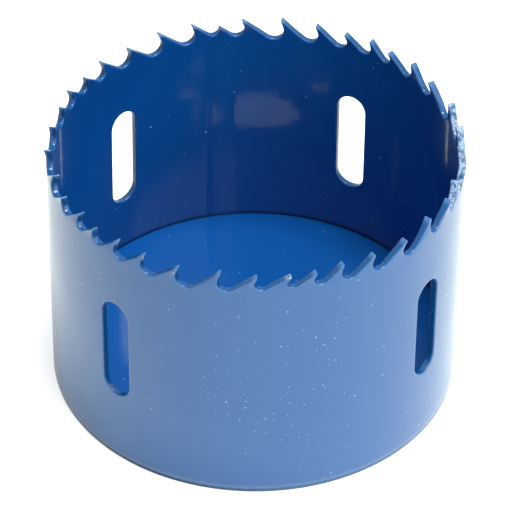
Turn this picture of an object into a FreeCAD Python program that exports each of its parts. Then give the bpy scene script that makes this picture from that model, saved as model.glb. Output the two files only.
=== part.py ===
# Hole saw: a toothed band rolled from flat strip, and the base plate that closes its lower end.
# Millimetres, +Z up. The origin is the centre of the base's underside, and the teeth point up.

import FreeCAD, Part
import math
import os

from FreeCAD import Placement, Rotation, Vector

# The rolled band.
band_outer_r = 33.5
band_wall = 1.2
band_height = 45.1
band_foot_round = 0.5

# The base plate, seated flush in the band's lower end.
base_thick = 4.0
base_foot_chamfer = 0.35
seat_clearance = 0.0

# The arbor thread's bore at its crests, for a 5/8 inch thread of 18 turns an inch.
thread_bore_r = 7.18
thread_lead_in = 0.8

# The holes for the arbor's drive pins, opposite each other.
pin_hole_r = 3.4
pin_hole_spacing = 28.0
pin_hole_turn = -45.0
pin_hole_chamfer = 0.4

# Teeth: one repeat of pitches along the flat strip, and each tooth's set: 1 out, -1 in, 0 straight.
tooth_pitches = (5.3, 6.0, 6.5, 5.6, 4.8, 4.3, 4.55)
tooth_sets = (-1, 0, 1, -1, 1, -1, 1)
first_tip = 2.8
strip_end_margin = 1.2
rake_angle = 22.0
back_angle = 38.0
tip_land = 0.25
gullet_depth_share = 0.54
set_offset = 0.3
set_bend_depth = 2.0

# The first tooth by the weld stands this much nearer to the second than the repeat's first pitch.
first_pitch_short = 0.6

# The gullet over the weld keeps the form of this longer pitch, so it takes the top off the first tooth.
seam_gullet_pitch = 5.4

# Four round-ended slots for prying the cut plug out, evenly spaced on the flat strip.
slot_count = 4
slot_length = 18.9
slot_width = 5.3
slot_mid_z = 23.1
slot_pitch = 54.9

# Where the strip's ends meet in a butt weld, in degrees from +X.
seam_angle = 45.0

# How far each cutter runs past the face that it opens.
overrun = 0.6

# How near to the floor an edge's centre lies if it is one of the floor's own.
floor_tolerance = 1e-6

band_inner_r = band_outer_r - band_wall
neutral_r = band_outer_r - band_wall / 2.0
strip_length = 2.0 * math.pi * neutral_r
base_r = band_inner_r - seat_clearance
bend_z = band_height - set_bend_depth
tip_out_r = band_outer_r + set_offset
tip_in_r = band_inner_r - set_offset


def strip_angle(distance):
    """Angle about the axis of a place on the rolled strip, in degrees."""
    return seam_angle + math.degrees(distance / neutral_r)


def tooth_places():
    """Tip position on the strip, pitch of the gullet after it and set, for every tooth."""
    tips = []
    position = first_tip
    while position <= strip_length - strip_end_margin:
        tips.append(position)
        position += tooth_pitches[(len(tips) - 1) % len(tooth_pitches)]
        if len(tips) == 1:
            position -= first_pitch_short
    teeth = []
    for index, tip in enumerate(tips):
        pitch = tips[index + 1] - tip if index + 1 < len(tips) else seam_gullet_pitch
        teeth.append((tip, pitch, tooth_sets[index % len(tooth_sets)]))
    return teeth


def gullet_form(pitch):
    """Depth and arc of one gullet, as distances from the tip ahead of it."""
    depth = gullet_depth_share * pitch
    rake = math.radians(rake_angle)
    back = math.radians(back_angle)
    run = pitch - tip_land
    rise = run * math.sin(back) + depth * (math.sin(back) * math.tan(rake) - math.cos(back))
    spread = 1.0 - math.cos(back) + math.sin(back) * (1.0 + math.sin(rake)) / math.cos(rake)
    radius = rise / spread
    centre_x = (radius + (radius - depth) * math.sin(rake)) / math.cos(rake)
    return depth, radius, centre_x


def gullet_cutter(tip, pitch):
    """What is punched out between one tip and the next: hooked face, round gullet, sloping back."""
    depth, radius, centre_x = gullet_form(pitch)
    rake = math.radians(rake_angle)
    back = math.radians(back_angle)
    centre = Vector(centre_x, 0, band_height - depth + radius)
    face_foot = centre + Vector(-math.cos(rake), 0, math.sin(rake)) * radius
    arc_low = centre + Vector(0, 0, -radius)
    back_foot = centre + Vector(math.sin(back), 0, -math.cos(back)) * radius
    tip_point = Vector(0, 0, band_height)
    next_heel = Vector(pitch - tip_land, 0, band_height)
    over_tip = Vector(0, 0, band_height + overrun)
    over_heel = Vector(pitch - tip_land, 0, band_height + overrun)
    edges = [
        Part.makeLine(over_tip, tip_point),
        Part.makeLine(tip_point, face_foot),
        Part.Arc(face_foot, arc_low, back_foot).toShape(),
        Part.makeLine(back_foot, next_heel),
        Part.makeLine(next_heel, over_heel),
        Part.makeLine(over_heel, over_tip),
    ]
    outline = Part.Face(Part.Wire(edges))
    # Turned about the gullet's own middle, so both its sides stay nearly radial.
    middle = pitch / 2.0
    outline.translate(Vector(-middle, -(tip_out_r + overrun), 0))
    cutter = outline.extrude(Vector(0, tip_out_r - tip_in_r + 2.0 * overrun, 0))
    cutter.rotate(Vector(0, 0, 0), Vector(0, 0, 1), strip_angle(tip + middle) + 90.0)
    return cutter


def tooth_blank(start, end, direction):
    """The strip above the bend line, between two gullets, leaning out or in by its set."""
    lean = direction * set_offset
    points = [
        Vector(band_inner_r, 0, bend_z),
        Vector(band_outer_r, 0, bend_z),
        Vector(band_outer_r + lean, 0, band_height),
        Vector(band_inner_r + lean, 0, band_height),
    ]
    section = Part.Face(Part.makePolygon(points + points[:1]))
    section.rotate(Vector(0, 0, 0), Vector(0, 0, 1), strip_angle(start))
    return section.revolve(Vector(0, 0, 0), Vector(0, 0, 1), strip_angle(end) - strip_angle(start))


def slot_cutter(position):
    """A round-ended slot through the wall, standing upright."""
    half = slot_length / 2.0 - slot_width / 2.0
    side = slot_width / 2.0
    low = slot_mid_z - half
    high = slot_mid_z + half
    edges = [
        Part.makeLine(Vector(side, 0, low), Vector(side, 0, high)),
        Part.Arc(Vector(side, 0, high), Vector(0, 0, high + side), Vector(-side, 0, high)).toShape(),
        Part.makeLine(Vector(-side, 0, high), Vector(-side, 0, low)),
        Part.Arc(Vector(-side, 0, low), Vector(0, 0, low - side), Vector(side, 0, low)).toShape(),
    ]
    outline = Part.Face(Part.Wire(edges))
    outline.translate(Vector(0, -(band_outer_r + overrun), 0))
    cutter = outline.extrude(Vector(0, band_wall + 2.0 * overrun, 0))
    cutter.rotate(Vector(0, 0, 0), Vector(0, 0, 1), strip_angle(position) + 90.0)
    return cutter


def slot_places():
    """Slot positions on the flat strip, centred between its two ends."""
    margin = (strip_length - (slot_count - 1) * slot_pitch) / 2.0
    return [margin + index * slot_pitch for index in range(slot_count)]


def floor_circles(shape):
    """The round edges of a turned blank that lie on the floor."""
    return [edge for edge in shape.Edges if edge.Closed and abs(edge.CenterOfMass.z) < floor_tolerance]


def toothed_band():
    """Strip with teeth and slots, rolled and butt-welded into one ring."""
    tube = Part.makeCylinder(band_outer_r, bend_z)
    tube = tube.makeFillet(band_foot_round, floor_circles(tube))
    tube = tube.cut(Part.makeCylinder(band_inner_r, bend_z))

    teeth = tooth_places()
    gullets = [tip + gullet_form(pitch)[2] for tip, pitch, direction in teeth]
    blanks = []
    for index, (tip, pitch, direction) in enumerate(teeth):
        start = gullets[index - 1] if index > 0 else gullets[-1] - strip_length
        blanks.append(tooth_blank(start, gullets[index], direction))
    band = tube.fuse(blanks)

    cutters = [gullet_cutter(tip, pitch) for tip, pitch, direction in teeth]
    cutters += [slot_cutter(position) for position in slot_places()]
    band = band.cut(cutters)
    return band.removeSplitter()


def coned_hole(radius, chamfer):
    """A through hole in the base with a small chamfer at both faces."""
    hole = Part.makeCylinder(radius, base_thick)
    lower = Part.makeCone(radius + chamfer, radius, chamfer)
    upper = Part.makeCone(radius, radius + chamfer, chamfer)
    upper.translate(Vector(0, 0, base_thick - chamfer))
    return hole.fuse([lower, upper])


def base_plate():
    """Thick disc with the arbor thread's bore and two drive-pin holes."""
    plate = Part.makeCylinder(base_r, base_thick)
    plate = plate.makeChamfer(base_foot_chamfer, floor_circles(plate))
    holes = [coned_hole(thread_bore_r, thread_lead_in)]
    for side in (-1, 1):
        hole = coned_hole(pin_hole_r, pin_hole_chamfer)
        hole.translate(Vector(side * pin_hole_spacing / 2.0, 0, 0))
        hole.rotate(Vector(0, 0, 0), Vector(0, 0, 1), pin_hole_turn)
        holes.append(hole)
    return plate.cut(holes)


def write(name, shape):
    """Write one piece as parts/NAME.step and say what it is."""
    if shape.ShapeType == "Compound" and len(shape.Solids) == 1:
        shape = shape.Solids[0]
    shape.exportStep("parts/" + name + ".step")
    box = shape.BoundBox
    print(name, shape.ShapeType, "solids", len(shape.Solids), "valid", shape.isValid(),
          "volume", round(shape.Volume, 1), "z", round(box.ZMin, 3), round(box.ZMax, 3))


os.makedirs("parts", exist_ok=True)
write("toothed_band", toothed_band())
write("base_plate", base_plate())
print("teeth", len(tooth_places()), "strip", round(strip_length, 2))
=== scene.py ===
import math
import bmesh
import bpy
from mathutils import Matrix, Vector


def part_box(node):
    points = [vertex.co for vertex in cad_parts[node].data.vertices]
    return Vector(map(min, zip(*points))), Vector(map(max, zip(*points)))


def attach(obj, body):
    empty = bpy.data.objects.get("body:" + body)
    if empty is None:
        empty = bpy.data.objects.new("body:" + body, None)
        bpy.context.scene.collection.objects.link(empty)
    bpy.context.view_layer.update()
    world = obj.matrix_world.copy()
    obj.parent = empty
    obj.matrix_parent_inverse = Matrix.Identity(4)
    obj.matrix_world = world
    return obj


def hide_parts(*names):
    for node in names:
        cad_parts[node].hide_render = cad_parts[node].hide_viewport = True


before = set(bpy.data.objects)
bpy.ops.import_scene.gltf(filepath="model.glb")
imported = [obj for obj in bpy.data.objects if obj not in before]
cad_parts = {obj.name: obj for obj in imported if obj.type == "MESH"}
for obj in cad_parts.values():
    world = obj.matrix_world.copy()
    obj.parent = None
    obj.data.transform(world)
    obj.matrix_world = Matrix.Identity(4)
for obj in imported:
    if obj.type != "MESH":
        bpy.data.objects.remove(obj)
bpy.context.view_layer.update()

mm = 0.001
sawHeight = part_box("toothed_band")[1].z / mm
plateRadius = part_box("base_plate")[1].x / mm
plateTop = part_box("base_plate")[1].z / mm

# The rolled band, in millimetres, along the flat strip before it is rolled.
band = {
    "wall": 1.2,
    "footRound": 0.5,
    "seamAngle": 45.0,
    "pitches": (5.3, 6.0, 6.5, 5.6, 4.8, 4.3, 4.55),
    "sets": (-1, 0, 1, -1, 1, -1, 1),
    "firstTip": 2.8,
    "firstPitchShort": 0.6,
    "nudges": {1: -0.35, 2: -0.35, 3: -0.35, 4: -0.2},  # teeth that stand a little nearer to the weld
    "endMargin": 1.2,
    "seamGulletPitch": 5.4,
    "rakeAngle": 18.0,  # the paint fills the hooks a little, so they look less sharp than the bare steel
    "backAngle": 38.0,
    "tipLand": 0.25,
    "gulletShare": 0.54,
    "bluntTooth": 19,  # its tip is knocked on, down and outward by these millimetres
    "bluntOn": 0.45,
    "bluntDown": 0.45,
    "bluntOut": 0.25,
    "bluntDepth": 1.7,  # how far the knock reaches down, and to either side
    "bluntSpan": 2.65,
    "setOffset": 0.3,
    "bendDepth": 2.0,
    "slotCount": 4,
    "slotLength": 18.9,
    "slotWidth": 5.3,
    "slotMidZ": 23.1,
    "slotPitch": 54.9,
    "heelRound": 0.06,  # at the tip and heel of each tooth, along its outline
    "tipEdge": 0.08,  # how far the paint rounds the punched edges, at the tips and lower down
    "gulletEdge": 0.3,
    "cutTipEdge": 0.01,  # the first tooth, cut down by the last gullet, is the sharpest
    "edgeDepth": 1.6,
    "slotEdge": 0.24,
    "dentMiddle": 26.0,  # the rim is a little out of round here
    "dentReach": 30.0,
    "dentDepth": 0.42,
    "weldMiddle": 2.3,  # along the strip, from where its ends meet
    "weldWidth": 5.0,
    # How the mesh is laid out.
    "toothZone": 6.0,  # this near to the tips its lines follow the teeth
    "toothRows": 6,
    "plainRows": (4.0, 8.0, 37.0),
    "patchHalfWidth": 4.2,  # the field that each slot is set in
    "patchHalfHeight": 11,
    "slotSteps": (0.5, 0.82, 1.0),
    "faceSteps": (0.35, 0.7),
    "gulletSteps": 9,
    "backSteps": (0.0, 0.3, 0.6, 0.85),
    "landSteps": (0.3, 0.7),
    "arcSteps": 4,
    "smoothing": 3,
    "leanShare": 1.8,
    "leanDepth": 1.9,
    "sharpAngle": 55.0,
}

# The base plate, in millimetres.
plate = {
    "threadMinor": 7.18,
    "threadMajor": 7.94,
    "threadPitch": 25.4 / 18.0,
    "threadLeadIn": 0.8,
    "pinHole": 3.4,
    "pinSpacing": 28.0,
    "pinTurn": -45.0,
    "pinChamfer": 0.4,
    "footChamfer": 0.35,
    "topRound": 0.3,  # the plate's turned edge leaves a fine groove along the band
    "threadFlat": 0.125,  # shares of the thread's half pitch
    "threadFlank": 0.625,
    "paintRound": 0.06,  # at every edge sharper than the angle in degrees
    "paintAngle": 35.0,
    # How the mesh is laid out.
    "paintSteps": 2,
    "rimCount": 256,
    "rimSteps": 5,
    "boreCount": 128,
    "boreLevels": 40,
    "pinCount": 48,
}

innerR = plateRadius
outerR = innerR + band["wall"]
neutralR = innerR + band["wall"] / 2
stripLength = 2 * math.pi * neutralR


def toothPlaces():
    tips = []
    place = band["firstTip"]
    while place <= stripLength - band["endMargin"]:
        tips.append(place)
        place += band["pitches"][(len(tips) - 1) % len(band["pitches"])]
        if len(tips) == 1:
            place -= band["firstPitchShort"]
    tips = [tip + band["nudges"].get(index, 0.0) for index, tip in enumerate(tips)]
    teeth = []
    for index, tip in enumerate(tips):
        last = index + 1 == len(tips)
        gap = tips[0] + stripLength - tip if last else tips[index + 1] - tip
        form = band["seamGulletPitch"] if last else gap
        teeth.append((tip, gap, form, band["sets"][index % len(band["sets"])]))
    return teeth


# Points from one tip down its hooked face, round the gullet and up the next tooth's back.
def gulletPoints(tip, gap, form, firstLow=0.0):
    depth = band["gulletShare"] * form
    rake, back = math.radians(band["rakeAngle"]), math.radians(band["backAngle"])
    run = form - band["tipLand"]
    rise = run * math.sin(back) + depth * (math.sin(back) * math.tan(rake) - math.cos(back))
    spread = 1 - math.cos(back) + math.sin(back) * (1 + math.sin(rake)) / math.cos(rake)
    radius = rise / spread
    centreX = (radius + (radius - depth) * math.sin(rake)) / math.cos(rake)
    centreZ = sawHeight - depth + radius
    arcStart, arcEnd = math.pi - rake, 1.5 * math.pi + back
    faceFoot = (centreX + radius * math.cos(arcStart), centreZ + radius * math.sin(arcStart))
    backFoot = (centreX + radius * math.cos(arcEnd), centreZ + radius * math.sin(arcEnd))
    soft = band["heelRound"]
    tipPoint = (-firstLow * math.tan(rake), sawHeight - firstLow)
    drop = (run - gap) * lowShare() if form > gap else 0.0
    heel = (gap - drop * math.tan(rake), sawHeight - drop) if form > gap else (run, sawHeight)

    def between(start, end, shares):
        dx, dz = end[0] - start[0], end[1] - start[1]
        return [(start[0] + dx * share, start[1] + dz * share) for share in shares]

    faceLength = math.dist(tipPoint, faceFoot)
    backLength = math.dist(backFoot, heel)
    points = between(tipPoint, faceFoot, (soft / faceLength, *band["faceSteps"]))
    for step in range(band["gulletSteps"]):
        angle = arcStart + (arcEnd - arcStart) * step / band["gulletSteps"]
        points.append((centreX + radius * math.cos(angle), centreZ + radius * math.sin(angle)))
    points += between(backFoot, heel, (*band["backSteps"], 1 - soft / backLength))
    if form == gap:
        points += between(heel, (gap, sawHeight), band["landSteps"])
    return [(tip + x, z) for x, z in points], tip + centreX


# How far the long gullet at the weld lowers the first tooth, for each millimetre past its tip.
def lowShare():
    rake, back = math.radians(band["rakeAngle"]), math.radians(band["backAngle"])
    return math.tan(back) / (1 - math.tan(back) * math.tan(rake))


# How far the strip lies inside its true circle where its welded ends stayed flat.
def weldFlat(along):
    across = (along - band["weldMiddle"] + stripLength / 2) % stripLength - stripLength / 2
    half = band["weldWidth"] / 2
    return max(0.0, half * half - across * across) / (2 * neutralR)


# How far the rim lies inside its true circle, growing from the base plate up.
def rimDent(along, z):
    across = (along - band["dentMiddle"] + stripLength / 2) % stripLength - stripLength / 2
    share = max(0.0, 1 - (across / band["dentReach"]) ** 2)
    lift = max(0.0, z - plateTop) / (sawHeight - plateTop)
    return band["dentDepth"] * share * share * lift ** 1.5


# A place on the flat strip, rolled up: outward is how far it lies outside the neutral line.
def rolled(along, z, outward):
    angle = math.radians(band["seamAngle"]) + along / neutralR
    radius = neutralR + outward - weldFlat(along) - rimDent(along, z)
    return Vector((radius * math.cos(angle) * mm, radius * math.sin(angle) * mm, z * mm))


# How far the mesh's upright lines lean back under the hooked teeth, so that they stay within the steel.
def lineLean(z):
    return -band["leanShare"] * math.atan((sawHeight - z) / band["leanDepth"])


# The steel's side of each point on a closed outline, square to the outline. Wrap is the strip's length.
def inwardNormals(outline, wrap):
    normals = []
    count = len(outline)
    for index in range(count):
        before, after = outline[index - 1], outline[(index + 1) % count]
        dx = after[0] - before[0]
        if dx < -wrap / 2:
            dx += wrap
        dz = after[1] - before[1]
        length = math.hypot(dx, dz)
        normals.append((dz / length, -dx / length))
    return normals


# The toothed edge as one closed outline on the flat strip, with each point's set and how high its tip stands.
def toothedOutline():
    teeth = toothPlaces()
    outline, leans, tops = [], [], []
    lastForm, lastGap = teeth[-1][2], teeth[-1][1]
    weldDrop = (lastForm - band["tipLand"] - lastGap) * lowShare()
    for index, (tip, gap, form, lean) in enumerate(teeth):
        points, gulletAt = gulletPoints(tip, gap, form, weldDrop if index == 0 else 0.0)
        nextLean = teeth[(index + 1) % len(teeth)][3]
        for point in points:
            outline.append(point)
            faceSide = point[0] < gulletAt
            leans.append(lean if faceSide else nextLean)
            lowered = (index == 0 and faceSide) or (index == len(teeth) - 1 and not faceSide)
            tops.append(sawHeight - weldDrop if lowered else sawHeight)
    bluntTip = teeth[band["bluntTooth"]][0]
    for index, (x, z) in enumerate(outline):
        if abs(x - bluntTip) < band["bluntSpan"]:
            share = max(0.0, 1 - (sawHeight - z) / band["bluntDepth"])
            outline[index] = (x + band["bluntOn"] * share, z - band["bluntDown"] * share)
            leans[index] += band["bluntOut"] / band["setOffset"] * share
    return outline, leans, tops


# A mesh made into an object in the scene.
def meshPiece(mesh, name, smooth=True):
    data = bpy.data.meshes.new(name)
    mesh.to_mesh(data)
    mesh.free()
    for face in data.polygons:
        face.use_smooth = smooth
    piece = bpy.data.objects.new(name, data)
    bpy.context.scene.collection.objects.link(piece)
    return piece


# Each place in a closed loop, with the one after it.
def neighbours(count):
    return [(place, (place + 1) % count) for place in range(count)]


def buildBand():
    bendZ = sawHeight - band["bendDepth"]
    patchTop = sawHeight - band["toothZone"]
    half = band["wall"] / 2
    outline, leans, tops = toothedOutline()
    columns = len(outline)
    normals = inwardNormals(outline, stripLength)
    rounds = []
    for (x, z), top in zip(outline, tops):
        share = min(1.0, max(0.0, top - z) / band["edgeDepth"])
        least = band["tipEdge"] if top == sawHeight else band["cutTipEdge"]
        rounds.append(least + (band["gulletEdge"] - least) * share)
    edge = []
    for (x, z), (nx, nz), reach in zip(outline, normals, rounds):
        edge.append((x + nx * reach, z + nz * reach))
    free = [x - lineLean(z) + lineLean(patchTop) for x, z in edge]
    base = sorted(free)
    for turn in range(band["smoothing"]):
        wrapped = [base[-1] - stripLength] + base + [base[0] + stripLength]
        base = [(a + 2 * b + c) / 4 for a, b, c in zip(wrapped, wrapped[1:], wrapped[2:])]
    patchLow = band["slotMidZ"] - band["patchHalfHeight"]
    slotRows = [patchLow + step for step in range(2 * band["patchHalfHeight"] + 1)]
    rows = sorted([*band["plainRows"], *slotRows, patchTop])
    risers, arcSteps = band["toothRows"], band["arcSteps"]
    arcs = [math.pi / 2 * step / arcSteps for step in range(1, arcSteps + 1)]
    mesh = bmesh.new()

    def setOut(lean, z):
        share = max(0.0, (z - bendZ) / (sawHeight - bendZ))
        return lean * band["setOffset"] * share

    def sheet(side):
        grid = []
        if side > 0:
            turn = band["footRound"]
            for angle in [0.0] + arcs:
                inset = turn * (1 - math.sin(angle))
                height = turn * (1 - math.cos(angle))
                grid.append([mesh.verts.new(rolled(at, height, half - inset)) for at in base])
        else:
            grid.append([mesh.verts.new(rolled(at, 0.0, -half)) for at in base])
        for z in rows:
            grid.append([mesh.verts.new(rolled(at, z, half * side)) for at in base])
        for riser in range(1, risers + 1):
            share = riser / risers
            ring = []
            for column in range(columns):
                z = patchTop + (edge[column][1] - patchTop) * share
                at = base[column] + (free[column] - base[column]) * share
                at += lineLean(z) - lineLean(patchTop)
                ring.append(mesh.verts.new(rolled(at, z, half * side + setOut(leans[column], z))))
            grid.append(ring)
        for angle in arcs:
            ring = []
            for column in range(columns):
                reach, (nx, nz) = rounds[column], normals[column]
                inset = reach * (1 - math.sin(angle))
                at, z = outline[column][0] + nx * inset, outline[column][1] + nz * inset
                outward = side * (half - reach * (1 - math.cos(angle)))
                ring.append(mesh.verts.new(rolled(at, z, outward + setOut(leans[column], z))))
            grid.append(ring)
        return grid

    def quad(corners, side):
        mesh.faces.new(corners if side > 0 else corners[::-1])

    def slotPatches():
        patches = []
        margin = (stripLength - (band["slotCount"] - 1) * band["slotPitch"]) / 2
        for number in range(band["slotCount"]):
            middle = margin + number * band["slotPitch"]
            first = min(range(columns), key=lambda c: abs(base[c] - (middle - band["patchHalfWidth"])))
            last = min(range(columns), key=lambda c: abs(base[c] - (middle + band["patchHalfWidth"])))
            patches.append((middle, first, last))
        return patches

    patches = slotPatches()
    loops = {}
    grids = {}
    above = risers + len(arcs)
    for side in (1, -1):
        grid = sheet(side)
        grids[side] = grid
        firstRow = len(grid) - above - len(rows) + 2
        lastRow = firstRow + len(slotRows) - 1
        for row in range(len(grid) - 1):
            lower, upper = grid[row], grid[row + 1]
            for column, right in neighbours(columns):
                inPatch = any(first <= column < last for middle, first, last in patches)
                if inPatch and firstRow <= row < lastRow:
                    continue
                quad([lower[column], lower[right], upper[right], upper[column]], side)
        for middle, first, last in patches:
            rim = [(firstRow, c) for c in range(first, last)]
            rim += [(r, last) for r in range(firstRow, lastRow)]
            rim += [(lastRow, c) for c in range(last, first, -1)]
            rim += [(r, first) for r in range(lastRow, firstRow, -1)]
            outerLoop = [grid[r][c] for r, c in rim]
            places = [(base[c], slotRows[r - firstRow]) for r, c in rim]
            reach = band["slotWidth"] / 2
            straight = band["slotLength"] / 2 - reach
            ends, facing = [], []
            for at, z in places:
                dx, dz = at - middle, z - band["slotMidZ"]
                core = max(-straight, min(straight, dz))
                length = math.hypot(dx, dz - core)
                fx, fz = dx / length, (dz - core) / length
                facing.append((fx, fz))
                ends.append((middle + fx * reach, band["slotMidZ"] + core + fz * reach))
            soft = band["slotEdge"]
            steps = [(share, soft, half) for share in band["slotSteps"]]
            for angle in arcs:
                steps.append((1.0, soft * (1 - math.sin(angle)), half - soft * (1 - math.cos(angle))))
            previous = outerLoop
            for share, inset, outward in steps:
                ring = []
                for (at, z), (endAt, endZ), (fx, fz) in zip(places, ends, facing):
                    endAt, endZ = endAt + fx * inset, endZ + fz * inset
                    spot = rolled(at + (endAt - at) * share, z + (endZ - z) * share, outward * side)
                    ring.append(mesh.verts.new(spot))
                for here, after in neighbours(len(ring)):
                    quad([previous[here], previous[after], ring[after], ring[here]], side)
                previous = ring
            loops.setdefault(middle, []).append(previous)
    for row in (0, -1):
        outer, inner = grids[1][row], grids[-1][row]
        for column, right in neighbours(columns):
            corners = [outer[column], outer[right], inner[right], inner[column]]
            mesh.faces.new(corners[::-1] if row == 0 else corners)
    for outer, inner in loops.values():
        for here, after in neighbours(len(outer)):
            mesh.faces.new([outer[here], outer[after], inner[after], inner[here]])
    mesh.normal_update()
    bmesh.ops.recalc_face_normals(mesh, faces=mesh.faces)
    piece = meshPiece(mesh, "bandSheet")
    piece.data.set_sharp_from_angle(angle=math.radians(band["sharpAngle"]))
    print("band", len(piece.data.vertices), "points", len(piece.data.polygons), "faces")
    return piece


def circlePoints(radius, count, centre=(0.0, 0.0)):
    points = []
    for step in range(count):
        angle = 2 * math.pi * step / count
        points.append((centre[0] + radius * math.cos(angle), centre[1] + radius * math.sin(angle)))
    return points


# The bore's radius where the thread's groove runs, all in millimetres.
def threadRadius(angle, z):
    turn = (z / plate["threadPitch"] - angle / (2 * math.pi)) % 1.0
    flank = abs(turn - 0.5) * 2
    depth = min(1.0, max(0.0, (flank - plate["threadFlat"]) / plate["threadFlank"]))
    return plate["threadMajor"] - (plate["threadMajor"] - plate["threadMinor"]) * depth


def buildPlate():
    mesh = bmesh.new()
    rimCount, boreCount, pinCount = plate["rimCount"], plate["boreCount"], plate["pinCount"]
    edge, chamfer = plate["topRound"], plate["footChamfer"]

    def ring(radius, z, count, centre=(0.0, 0.0)):
        return [mesh.verts.new((x * mm, y * mm, z * mm)) for x, y in circlePoints(radius, count, centre)]

    def join(rings):
        for below, above in zip(rings, rings[1:]):
            for here, after in neighbours(len(below)):
                mesh.faces.new([below[here], below[after], above[after], above[here]])

    rimRings = [ring(plateRadius - chamfer, 0.0, rimCount), ring(plateRadius, chamfer, rimCount)]
    for step in range(plate["rimSteps"] + 1):
        angle = math.pi / 2 * step / plate["rimSteps"]
        radius = plateRadius - edge * (1 - math.cos(angle))
        rimRings.append(ring(radius, plateTop - edge * (1 - math.sin(angle)), rimCount))
    join(rimRings)

    boreRings = []
    levels = plate["boreLevels"]
    lead = plate["threadLeadIn"]
    for level in range(levels + 1):
        z = plateTop * level / levels
        cone = plate["threadMinor"] + max(0.0, lead - z, z - (plateTop - lead))
        verts = []
        for step in range(boreCount):
            angle = 2 * math.pi * step / boreCount
            radius = max(cone, threadRadius(angle, z))
            if level in (0, levels):
                radius = plate["threadMinor"] + lead
            x, y = radius * math.cos(angle), radius * math.sin(angle)
            verts.append(mesh.verts.new((x * mm, y * mm, z * mm)))
        boreRings.append(verts)
    join(boreRings)

    pins = []
    turn = math.radians(plate["pinTurn"])
    for sign in (-1, 1):
        reach = sign * plate["pinSpacing"] / 2
        centre = (reach * math.cos(turn), reach * math.sin(turn))
        wide, cut = plate["pinHole"] + plate["pinChamfer"], plate["pinChamfer"]
        rings = [
            ring(wide, 0.0, pinCount, centre),
            ring(plate["pinHole"], cut, pinCount, centre),
            ring(plate["pinHole"], plateTop - cut, pinCount, centre),
            ring(wide, plateTop, pinCount, centre),
        ]
        join(rings)
        pins.append(rings)

    def loopEdges(verts):
        return [mesh.edges.get((verts[here], verts[after])) for here, after in neighbours(len(verts))]

    for end in (0, -1):
        edges = loopEdges(rimRings[end]) + loopEdges(boreRings[end])
        for rings in pins:
            edges += loopEdges(rings[end])
        bmesh.ops.triangle_fill(mesh, edges=edges, use_beauty=True)
    bmesh.ops.recalc_face_normals(mesh, faces=mesh.faces)
    piece = meshPiece(mesh, "basePlate")
    print("plate", len(piece.data.vertices), "points", len(piece.data.polygons), "faces")
    rounding = piece.modifiers.new("paintedEdges", "BEVEL")
    rounding.width = plate["paintRound"] * mm
    rounding.segments = plate["paintSteps"]
    rounding.limit_method = "ANGLE"
    rounding.angle_limit = math.radians(plate["paintAngle"])
    rounding.harden_normals = True
    return piece


# Adds a node, sets its options, and feeds its sockets with values or with other nodes' outputs.
def addNode(tree, kind, feeds=None, **options):
    node = tree.nodes.new("ShaderNode" + kind)
    for name, value in options.items():
        setattr(node, name, value)
    for socket, source in (feeds or {}).items():
        if isinstance(source, bpy.types.NodeSocket):
            tree.links.new(source, node.inputs[socket])
        else:
            node.inputs[socket].default_value = source
    return node


def calc(tree, operation, *sources, clamp=False):
    feeds = dict(enumerate(sources))
    return addNode(tree, "Math", feeds, operation=operation, use_clamp=clamp).outputs[0]


def times(tree, first, *others):
    for other in others:
        first = calc(tree, "MULTIPLY", first, other)
    return first


def larger(tree, first, second):
    return calc(tree, "MAXIMUM", first, second)


# What a share leaves of 1.
def rest(tree, share):
    return calc(tree, "SUBTRACT", 1.0, share)


# One plain number where the share is 0, and another where it is 1.
def fromTo(tree, share, low, high):
    return calc(tree, "MULTIPLY_ADD", share, high - low, low)


def vectorMath(tree, operation, *sources):
    return addNode(tree, "VectorMath", dict(enumerate(sources)), operation=operation)


# 0 below the first value and 1 above the second, with a soft step between.
def ramp(tree, value, low, high):
    feeds = {"Value": value, "From Min": low, "From Max": high}
    return addNode(tree, "MapRange", feeds, interpolation_type="SMOOTHSTEP").outputs["Result"]


# 1 between two values, fading out over a short way at both.
def stretch(tree, value, ends, fade=0.8):
    start, end = ends
    return times(tree, ramp(tree, value, start - fade, start + fade), ramp(tree, value, end + fade, end - fade))


def blendColour(tree, share, first, second):
    return addNode(tree, "Mix", {0: share, 6: first, 7: second}, data_type="RGBA").outputs[2]


def newGroup(name, inputs, outputs):
    tree = bpy.data.node_groups.new(name, "ShaderNodeTree")
    kinds = {"value": "NodeSocketFloat", "vector": "NodeSocketVector"}
    for socket, kind, value in inputs:
        made = tree.interface.new_socket(socket, in_out="INPUT", socket_type=kinds[kind])
        if value is not None:
            made.default_value = value
    for socket, kind in outputs:
        tree.interface.new_socket(socket, in_out="OUTPUT", socket_type=kinds[kind])
    return tree, tree.nodes.new("NodeGroupInput"), tree.nodes.new("NodeGroupOutput")


def giveOut(tree, given, **made):
    for name, source in made.items():
        tree.links.new(source, given.inputs[name])


def useGroup(tree, group, **feeds):
    return addNode(tree, "Group", feeds, node_tree=group)


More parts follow.
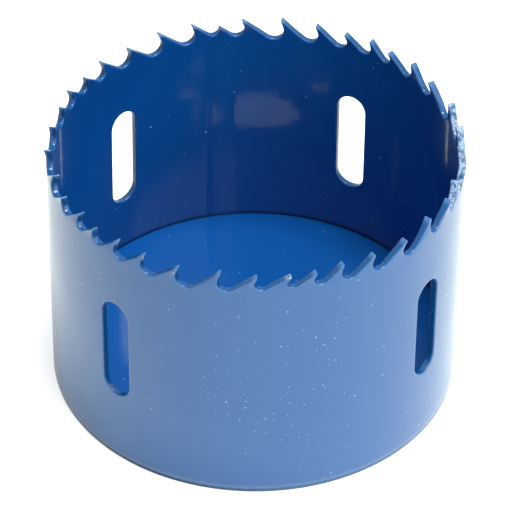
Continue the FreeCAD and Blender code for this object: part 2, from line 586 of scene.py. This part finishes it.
# Where a point lies on the saw, in millimetres, and on the strip before it was rolled, from the weld on.
# Outward tells how far the surface faces away from the axis.
def buildPlaceGroup():
    outputs = [("Place", "vector"), ("Strip", "vector"), ("Along", "value"), ("Height", "value")]
    outputs += [("Radius", "value"), ("Outward", "value")]
    tree, taken, given = newGroup("placeOnSaw", [], outputs)
    coordinates = addNode(tree, "TexCoord")
    place = vectorMath(tree, "MULTIPLY", coordinates.outputs["Object"], (1 / mm, 1 / mm, 1 / mm)).outputs[0]
    parts = addNode(tree, "SeparateXYZ", {0: place})
    flat = addNode(tree, "CombineXYZ", {0: parts.outputs["X"], 1: parts.outputs["Y"]}).outputs[0]
    radius = vectorMath(tree, "LENGTH", flat)
    radial = vectorMath(tree, "NORMALIZE", flat)
    facing = vectorMath(tree, "DOT_PRODUCT", radial.outputs[0], coordinates.outputs["Normal"])
    opposite = -math.radians(band["seamAngle"]) - math.pi
    turned = addNode(tree, "VectorRotate", {"Vector": flat, "Angle": opposite}, rotation_type="Z_AXIS")
    sides = addNode(tree, "SeparateXYZ", {0: turned.outputs[0]})
    angle = calc(tree, "ARCTAN2", sides.outputs["Y"], sides.outputs["X"])
    along = calc(tree, "MULTIPLY_ADD", angle, neutralR, stripLength / 2)
    strip = addNode(tree, "CombineXYZ", {0: along, 1: parts.outputs["Z"]})
    giveOut(tree, given, Place=place, Strip=strip.outputs[0], Along=along, Height=parts.outputs["Z"])
    giveOut(tree, given, Radius=radius.outputs["Value"], Outward=facing.outputs["Value"])
    return tree


# Pale dust: small dots of uneven size, with a share of the cells left empty.
def buildDustGroup():
    inputs = [("Place", "vector", None), ("Spacing", "value", 2.0)]
    inputs += [("Size", "value", 0.1), ("Share", "value", 0.3)]
    tree, taken, given = newGroup("dustSpecks", inputs, [("Mask", "value")])
    scale = calc(tree, "DIVIDE", 1.0, taken.outputs["Spacing"])
    cells = addNode(tree, "TexVoronoi", {"Vector": taken.outputs["Place"], "Scale": scale}, feature="F1")
    lots = addNode(tree, "SeparateColor", {0: cells.outputs["Color"]})
    reach = calc(tree, "DIVIDE", taken.outputs["Size"], taken.outputs["Spacing"])
    reach = times(tree, reach, calc(tree, "ADD", lots.outputs[1], 0.4))
    away = calc(tree, "DIVIDE", cells.outputs["Distance"], reach)
    near = calc(tree, "SUBTRACT", 1.0, away, clamp=True)
    chosen = calc(tree, "LESS_THAN", lots.outputs[0], taken.outputs["Share"])
    strength = times(tree, near, calc(tree, "ADD", lots.outputs[2], 0.5))
    giveOut(tree, given, Mask=calc(tree, "MULTIPLY", strength, chosen, clamp=True))
    return tree


# Sprayed enamel: the orange peel's height, and how thick the film lies.
def buildFilmGroup():
    inputs = [("Place", "vector", None), ("Peel", "value", 1.2), ("Wave", "value", 9.0)]
    tree, taken, given = newGroup("enamelFilm", inputs, [("Height", "value"), ("Thickness", "value")])
    noises = []
    for size, detail in (("Peel", 2.0), ("Wave", 1.0)):
        scale = calc(tree, "DIVIDE", 1.0, taken.outputs[size])
        feeds = {"Vector": taken.outputs["Place"], "Scale": scale, "Detail": detail}
        noises.append(addNode(tree, "TexNoise", feeds).outputs["Fac"])
    peel, wave = noises
    giveOut(tree, given, Height=calc(tree, "MULTIPLY_ADD", wave, 2.5, peel), Thickness=wave)
    return tree


# Rubbed or chipped paint: a ragged mask that grows with the exposure fed to it.
def buildWearGroup():
    inputs = [("Place", "vector", None), ("Exposure", "value", 0.0)]
    inputs += [("Grain", "value", 0.5), ("Softness", "value", 0.08)]
    tree, taken, given = newGroup("paintWear", inputs, [("Mask", "value")])
    scale = calc(tree, "DIVIDE", 1.0, taken.outputs["Grain"])
    feeds = {"Vector": taken.outputs["Place"], "Scale": scale, "Detail": 4.0, "Roughness": 0.65}
    noise = addNode(tree, "TexNoise", feeds)
    limit = rest(tree, taken.outputs["Exposure"])
    upper = calc(tree, "ADD", limit, taken.outputs["Softness"])
    feeds = {"Value": noise.outputs["Fac"], "From Min": limit, "From Max": upper}
    giveOut(tree, given, Mask=addNode(tree, "MapRange", feeds).outputs["Result"])
    return tree


# Short hairlines on the flat strip, all at one slant, in cells of the Length and Width given.
def buildHairlineGroup():
    inputs = [("Strip", "vector", None), ("Slant", "value", 0.5), ("Length", "value", 30.0)]
    inputs += [("Width", "value", 0.9), ("Share", "value", 0.2)]
    tree, taken, given = newGroup("hairlines", inputs, [("Mask", "value")])
    strip = taken.outputs["Strip"]
    sway = addNode(tree, "TexNoise", {"Vector": strip, "Scale": 0.12, "Detail": 1.0})
    shift = vectorMath(tree, "MULTIPLY", sway.outputs["Color"], (3.0, 3.0, 0.0))
    bent = vectorMath(tree, "ADD", strip, shift.outputs[0])
    feeds = {"Vector": bent.outputs[0], "Angle": taken.outputs["Slant"]}
    turned = addNode(tree, "VectorRotate", feeds, rotation_type="Z_AXIS")
    cell = addNode(tree, "CombineXYZ", {0: taken.outputs["Length"], 1: taken.outputs["Width"], 2: 1.0})
    drawn = vectorMath(tree, "DIVIDE", turned.outputs[0], cell.outputs[0])
    feeds = {"Vector": drawn.outputs[0], "Scale": 1.0}
    cells = addNode(tree, "TexVoronoi", feeds, feature="F1", voronoi_dimensions="2D")
    lots = addNode(tree, "SeparateColor", {0: cells.outputs["Color"]})
    reach = calc(tree, "MULTIPLY_ADD", lots.outputs[1], 0.05, 0.035)
    away = calc(tree, "DIVIDE", cells.outputs["Distance"], reach)
    near = calc(tree, "SUBTRACT", 1.0, away, clamp=True)
    chosen = calc(tree, "LESS_THAN", lots.outputs[0], taken.outputs["Share"])
    giveOut(tree, given, Mask=times(tree, near, chosen))
    return tree


# What both pieces' paint has in common.
finish = {
    "dust": (0.66, 0.78, 0.92, 1.0),
    "steel": (0.54, 0.62, 0.74, 1.0),
    "roughness": (0.28, 0.40),  # where the film lies thin, and where it lies thick
    "underGloss": 0.12,
    "peelDepth": 0.012,  # in millimetres
}


def newMaterial(name):
    material = bpy.data.materials.new(name)
    material.use_nodes = True
    return material, material.node_tree, material.node_tree.nodes["Principled BSDF"]


# The enamel under its clear gloss. Bare is the share of the surface that is bare steel.
def enamelShader(tree, shader, colour, bare, gloss, film, piece):
    distance = finish["peelDepth"] * mm
    bump = addNode(tree, "Bump", {"Height": film.outputs["Height"], "Distance": distance, "Strength": 1.0})
    roughness = fromTo(tree, film.outputs["Thickness"], *finish["roughness"])
    tree.links.new(colour, shader.inputs["Base Color"])
    tree.links.new(bare, shader.inputs["Metallic"])
    tree.links.new(roughness, shader.inputs["Roughness"])
    tree.links.new(times(tree, gloss, rest(tree, bare)), shader.inputs["Coat Weight"])
    tree.links.new(bump.outputs["Normal"], shader.inputs["Normal"])
    tree.links.new(bump.outputs["Normal"], shader.inputs["Coat Normal"])
    shader.inputs["Coat Roughness"].default_value = piece["coatRoughness"]
    shader.inputs["Coat IOR"].default_value = piece["coatIor"]
    shader.inputs["Specular IOR Level"].default_value = finish["underGloss"]


# The band's own paint. Places along the strip and heights are in millimetres.
bandFinish = {
    # One enamel in two colours: the inside is darker, painting the shade within the cup, and the outside is
    # paler and greyer, painting part of its sheen.
    "inside": (0.002, 0.079, 0.325, 1.0),
    "insideGloss": 0.42,
    "outside": (0.0225, 0.1415, 0.431, 1.0),
    "punched": (0.004, 0.08, 0.27, 1.0),
    "punchedGloss": 0.45,
    "slotGloss": 0.6,
    "coatIor": 1.6,
    "coatRoughness": 0.07,
    "film": {"Peel": 1.1, "Wave": 11.0},
    # Paler paint where it lies thin on rounded edges and tips, also standing in as a painted highlight along
    # them.
    "thinPaintSheen": (0.12, 0.28, 0.58, 1.0),  # over the punched edges and at the tips
    "edgeWearSheen": {"Exposure": 0.6, "Grain": 1.6, "Softness": 0.25},
    "edgeShare": 0.14,
    "tipShare": 0.45,
    # Pale rubbed paint near the tips: real wear, and on the teeth named next a painted sheen as well.
    "rubbedSheen": (0.50, 0.62, 0.74, 1.0),
    "sheenTeeth": (25, 30),
    "sheenDepth": 3.6,
    "sheenExposure": (0.36, 0.60),  # elsewhere, and on the teeth given a painted sheen
    "sheenWear": {"Grain": 0.75, "Softness": 0.14},
    "sheenShare": 0.7,
    "bareReach": 1.2,  # at the tip that is knocked
    "bareWear": {"Exposure": 0.62, "Grain": 0.5, "Softness": 0.3},
    "dustyStretch": (93.0, 115.0),
    "dustyFade": 4.0,
    "fineDust": {"Spacing": 0.85, "Size": 0.14},
    "fineShares": (0.05, 0.05, 0.75),  # everywhere, added outside, and added in the dusty stretch
    "coarseDust": {"Spacing": 4.6, "Size": 0.2, "Share": 0.2},
    "dustStrength": 0.85,
    "hairlines": (
        {"Slant": 1.1, "Length": 22.0, "Share": 0.10},
        {"Slant": -0.5, "Length": 34.0, "Share": 0.08},
    ),
    "hairlineStrength": 0.2,
    "weldTone": (0.03, 0.13, 0.40, 1.0),
    "weldStretch": (0.2, 2.6),
    "weldShare": 0.06,
    "flatStretch": (0.0, 4.7),  # the strip's flat end shines less inside, and least where its curve starts
    "flatDull": 0.25,
    "bendStretch": (3.55, 4.7),
    "bendDull": 0.85,
    # A painted contact shadow along the foot's edge, darkest along one stretch.
    "footShade": (0.008, 0.02, 0.05, 1.0),
    "footShares": (0.3, 1.0),  # elsewhere, and in the darkest stretch
    "darkFoot": (44.0, 92.0),
    "darkFootFade": 16.0,
    # A thin pale line above the foot's edge, a painted highlight.
    "footLine": (0.30, 0.40, 0.55, 1.0),
    "footLineShare": 0.25,
    # Painted shade on the inner wall just above the plate: how high it reaches, and how strong.
    "seatShadeReach": 0.8,
    "seatShare": 0.75,
}


def bandPaint(groups):
    material, tree, shader = newMaterial("band_paint")
    place = useGroup(tree, groups["place"])
    where, strip = place.outputs["Place"], place.outputs["Strip"]
    along, height = place.outputs["Along"], place.outputs["Height"]
    teeth = toothPlaces()
    facing = calc(tree, "ABSOLUTE", place.outputs["Outward"])
    outside = ramp(tree, place.outputs["Outward"], 0.3, 0.7)
    inside = rest(tree, outside)
    punched = ramp(tree, facing, 0.8, 0.5)
    rounded = times(tree, ramp(tree, facing, 0.05, 0.45), ramp(tree, facing, 0.995, 0.9))
    film = useGroup(tree, groups["film"], Place=where, **bandFinish["film"])

    # Thin paint on the edges and tips, partly a painted highlight; rubbed paint, partly a painted sheen on some
    # teeth; and bare steel.
    thin = useGroup(tree, groups["wear"], Place=where, **bandFinish["edgeWearSheen"])
    thin = times(tree, thin.outputs["Mask"], rounded, bandFinish["edgeShare"])
    atTips = ramp(tree, height, sawHeight - 0.7, sawHeight - 0.1)
    thin = larger(tree, thin, times(tree, atTips, bandFinish["tipShare"]))
    # Rubbed paint near the tips, spread wide on some teeth to paint their sheen.
    first, last = bandFinish["sheenTeeth"]
    sheenLow = sawHeight - bandFinish["sheenDepth"]
    onTeeth = ramp(tree, height, sheenLow, sheenLow + 1)
    sheenStretch = stretch(tree, along, (teeth[first][0], teeth[last][0]))
    exposure = fromTo(tree, sheenStretch, *bandFinish["sheenExposure"])
    rubSheen = useGroup(tree, groups["wear"], Place=where, Exposure=exposure, **bandFinish["sheenWear"])
    rubbedSheen = times(tree, rubSheen.outputs["Mask"], onTeeth, punched)
    tip, reach = teeth[band["bluntTooth"]][0], bandFinish["bareReach"]
    knocked = useGroup(tree, groups["wear"], Place=where, **bandFinish["bareWear"])
    atTip = times(tree, stretch(tree, along, (tip - reach / 3, tip + reach), 0.5), punched)
    lifted = ramp(tree, height, sawHeight - reach, sawHeight - reach + 0.4)
    bare = times(tree, atTip, knocked.outputs["Mask"], lifted)

    # Dust and hairlines, thicker in some places than in others.
    patches = addNode(tree, "TexNoise", {"Vector": where, "Scale": 0.05, "Detail": 1.0})
    amount = times(tree, ramp(tree, patches.outputs["Fac"], 0.35, 0.6), outside)
    thick = stretch(tree, along, bandFinish["dustyStretch"], bandFinish["dustyFade"])
    everywhere, added, addedThick = bandFinish["fineShares"]
    fineShare = calc(tree, "MULTIPLY_ADD", times(tree, amount, thick), addedThick, everywhere)
    fineShare = calc(tree, "MULTIPLY_ADD", amount, added, fineShare)
    fine = useGroup(tree, groups["dust"], Place=where, Share=fineShare, **bandFinish["fineDust"])
    coarse = useGroup(tree, groups["dust"], Place=where, **bandFinish["coarseDust"])
    dusty = larger(tree, fine.outputs["Mask"], coarse.outputs["Mask"])
    lines = [useGroup(tree, groups["hairlines"], Strip=strip, **setup) for setup in bandFinish["hairlines"]]
    marks = larger(tree, lines[0].outputs["Mask"], lines[1].outputs["Mask"])
    marks = times(tree, marks, bandFinish["hairlineStrength"])
    pale = larger(tree, times(tree, dusty, bandFinish["dustStrength"]), marks)

    # The weld: ground flat and painted over, so its stretch differs a little in tone and gloss.
    weld = times(tree, stretch(tree, along, bandFinish["weldStretch"], 0.25), bandFinish["weldShare"])
    flat = times(tree, stretch(tree, along, bandFinish["flatStretch"], 0.35), bandFinish["flatDull"])
    bend = times(tree, stretch(tree, along, bandFinish["bendStretch"], 0.25), bandFinish["bendDull"])
    dulled = times(tree, larger(tree, flat, bend), inside)

    # The foot: a painted contact shadow along the edge where it stands, and a thin pale line above as a painted
    # highlight. Painted shade lies on the inner wall above the plate.
    underEdge = ramp(tree, place.outputs["Radius"], innerR, outerR - band["footRound"])
    footShare = stretch(tree, along, bandFinish["darkFoot"], bandFinish["darkFootFade"])
    footShare = fromTo(tree, footShare, *bandFinish["footShares"])
    footShade = times(tree, ramp(tree, height, 0.95, 0.45), underEdge, footShare)
    footLine = times(tree, ramp(tree, height, 0.8, 1.1), ramp(tree, height, 1.7, 1.2), outside)
    atSeat = ramp(tree, height, plateTop + bandFinish["seatShadeReach"], plateTop)
    atSeat = times(tree, atSeat, bandFinish["seatShare"], inside)
    paintedShade = larger(tree, footShade, atSeat)

    # Darker inside as painted shade, paler outside as painted sheen, over the one blue enamel.
    colour = blendColour(tree, outside, bandFinish["inside"], bandFinish["outside"])
    layers = (
        (weld, bandFinish["weldTone"]),
        (punched, bandFinish["punched"]),
        (thin, bandFinish["thinPaintSheen"]),
        (times(tree, footLine, bandFinish["footLineShare"]), bandFinish["footLine"]),
        (paintedShade, bandFinish["footShade"]),
        (times(tree, rubbedSheen, bandFinish["sheenShare"]), bandFinish["rubbedSheen"]),
        (pale, finish["dust"]),
        (bare, finish["steel"]),
    )
    for share, tone in layers:
        colour = blendColour(tree, share, colour, tone)

    upper = ramp(tree, height, sawHeight - band["toothZone"] - 2, sawHeight - band["toothZone"])
    cutGloss = fromTo(tree, upper, bandFinish["slotGloss"], bandFinish["punchedGloss"])
    gloss = calc(tree, "MULTIPLY_ADD", punched, calc(tree, "SUBTRACT", cutGloss, 1.0), 1.0)
    gloss = calc(tree, "MULTIPLY", gloss, rest(tree, rubbedSheen), clamp=True)
    facingGloss = larger(tree, fromTo(tree, outside, bandFinish["insideGloss"], 1.0), punched)
    gloss = times(tree, gloss, facingGloss, rest(tree, paintedShade), rest(tree, dulled))
    enamelShader(tree, shader, colour, bare, gloss, film, bandFinish)
    return material


# The base plate's own paint. The thread was cut before painting, so only a thin dark coat lies there, darkened
# further to paint the shade in the bore.
baseFinish = {
    "face": (0.0015, 0.086, 0.35, 1.0),
    "coatIor": 1.7,
    "coatRoughness": 0.14,
    "film": {"Peel": 1.3, "Wave": 14.0},
    "dust": {"Spacing": 2.2, "Size": 0.2, "Share": 0.16},
    "dustStrength": 0.45,
    "thread": (0.012, 0.03, 0.07, 1.0),
    "threadGloss": 0.4,
    "threadBare": 0.3,
    "threadEdge": 0.15,
}


def basePaint(groups):
    material, tree, shader = newMaterial("base_paint")
    place = useGroup(tree, groups["place"])
    where = place.outputs["Place"]
    film = useGroup(tree, groups["film"], Place=where, **baseFinish["film"])
    dust = useGroup(tree, groups["dust"], Place=where, **baseFinish["dust"])
    edge = plate["threadMajor"]
    threadArea = ramp(tree, place.outputs["Radius"], edge + baseFinish["threadEdge"], edge)
    pale = times(tree, dust.outputs["Mask"], baseFinish["dustStrength"])
    colour = blendColour(tree, pale, baseFinish["face"], finish["dust"])
    colour = blendColour(tree, threadArea, colour, baseFinish["thread"])
    gloss = fromTo(tree, threadArea, 1.0, baseFinish["threadGloss"])
    bare = times(tree, threadArea, baseFinish["threadBare"])
    enamelShader(tree, shader, colour, bare, gloss, film, baseFinish)
    return material


# The white table and surroundings, in shares of full white.
studio = {
    "tableColour": (0.84, 0.86, 0.84, 1.0),
    "skyLight": 0.035,
    "skySeen": 1.0,
    "tableGlowSeen": 0.74,
    "tableGlowMirrored": 0.31,
    "mirroredTable": (0.94, 1.0, 1.0, 1.0),
    "mirroredTint": (0.92, 1.0, 0.95, 1.0),
    "tableRoughness": 0.9,
    "tableHalf": 3.0,  # in metres
}
white = (1.0, 1.0, 1.0, 1.0)


def buildStage():
    world = bpy.data.worlds.new("studio")
    bpy.context.scene.world = world
    world.use_nodes = True
    tree = world.node_tree
    paths = addNode(tree, "LightPath")
    seen = larger(tree, paths.outputs["Is Camera Ray"], paths.outputs["Is Glossy Ray"])
    seen = larger(tree, seen, paths.outputs["Is Transmission Ray"])
    level = fromTo(tree, seen, studio["skyLight"], studio["skySeen"])
    background = tree.nodes["Background"]
    tint = blendColour(tree, paths.outputs["Is Camera Ray"], studio["mirroredTint"], white)
    tree.links.new(tint, background.inputs["Color"])
    tree.links.new(level, background.inputs["Strength"])

    mesh = bmesh.new()
    bmesh.ops.create_grid(mesh, x_segments=1, y_segments=1, size=studio["tableHalf"])
    floor = meshPiece(mesh, "floor", smooth=False)
    material, tree, shader = newMaterial("whiteTable")
    shader.inputs["Base Color"].default_value = studio["tableColour"]
    shader.inputs["Roughness"].default_value = studio["tableRoughness"]
    shader.inputs["Specular IOR Level"].default_value = 0.0
    paths = addNode(tree, "LightPath")
    tint = blendColour(tree, paths.outputs["Is Camera Ray"], studio["mirroredTable"], white)
    tree.links.new(tint, shader.inputs["Emission Color"])
    mirrored = larger(tree, paths.outputs["Is Glossy Ray"], paths.outputs["Is Transmission Ray"])
    glow = times(tree, mirrored, studio["tableGlowMirrored"])
    glow = calc(tree, "MULTIPLY_ADD", paths.outputs["Is Camera Ray"], studio["tableGlowSeen"], glow)
    tree.links.new(glow, shader.inputs["Emission Strength"])
    floor.data.materials.append(material)


# The photograph's viewpoint, from the object's turn about +Z, in millimetres and degrees.
shot = {
    "turn": 52.0,
    "distance": 427.28,
    "height": 380.69,
    "pitchDown": 40.05,
    "roll": 0.55,
    "focalPixels": 3415.0,
    "imagePixels": 510,
    "sensor": 36.0,
    "nearest": 0.01,  # these two in metres
    "farthest": 20.0,
}


def buildCamera():
    data = bpy.data.cameras.new("studioCamera")
    data.sensor_width = shot["sensor"]
    data.lens = shot["focalPixels"] / shot["imagePixels"] * shot["sensor"]
    data.clip_start = shot["nearest"]
    data.clip_end = shot["farthest"]
    camera = bpy.data.objects.new("studioCamera", data)
    bpy.context.scene.collection.objects.link(camera)
    turn = Matrix.Rotation(-math.radians(shot["turn"]), 4, "Z")
    tilt = Matrix.Rotation(math.radians(90 - shot["pitchDown"]), 4, "X")
    roll = Matrix.Rotation(math.radians(shot["roll"]), 4, "Z")
    place = Matrix.Translation(Vector((0, -shot["distance"] * mm, shot["height"] * mm)))
    camera.matrix_world = turn @ place @ tilt @ roll
    bpy.context.scene.camera = camera


# Lamps: bearing and elevation in degrees as the camera sees the saw, distance and size in metres,
# and the level at the saw.
lampTint = (0.97, 1.0, 0.96)
lampAim = Vector((0, 0, 0.025))
lamps = {
    "keySoftbox": {"bearing": -40.0, "elevation": 36.0, "distance": 0.8, "size": 0.72, "level": 0.68},
    "lowFill": {"bearing": -118.0, "elevation": 6.0, "distance": 0.9, "size": 0.5, "level": 0.2},
    "topSoftbox": {"bearing": -10.0, "elevation": 82.0, "distance": 0.8, "size": 0.3, "level": 1.05},
}


# A soft square lamp that gives a white surface square to it the level asked for.
def addLamp(name, setup):
    bearing = math.radians(setup["bearing"] - shot["turn"])
    elevation = math.radians(setup["elevation"])
    flat = math.cos(elevation)
    toward = Vector((math.cos(bearing) * flat, math.sin(bearing) * flat, math.sin(elevation)))
    light = bpy.data.lights.new(name, "AREA")
    light.shape = "SQUARE"
    light.size = setup["size"]
    light.color = lampTint
    light.energy = setup["level"] * (math.pi * setup["distance"]) ** 2
    lamp = bpy.data.objects.new(name, light)
    bpy.context.scene.collection.objects.link(lamp)
    lamp.location = toward * setup["distance"] + lampAim
    lamp.rotation_euler = toward.to_track_quat("Z", "Y").to_euler()


bandPiece = buildBand()
platePiece = buildPlate()
groups = {
    "place": buildPlaceGroup(),
    "dust": buildDustGroup(),
    "film": buildFilmGroup(),
    "wear": buildWearGroup(),
    "hairlines": buildHairlineGroup(),
}
dressings = (
    (bandPiece, "toothed_band", "band_paint", bandPaint),
    (platePiece, "base_plate", "base_paint", basePaint),
)
for piece, node, slotName, paint in dressings:
    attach(piece, "root")
    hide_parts(node)
    piece.data.materials.append(paint(groups))
print("pieces built and painted")
buildStage()
buildCamera()
for lampName, setup in lamps.items():
    addLamp(lampName, setup)
print("stage, camera and lamps ready")
bpy.context.scene.view_settings.view_transform = "Standard"
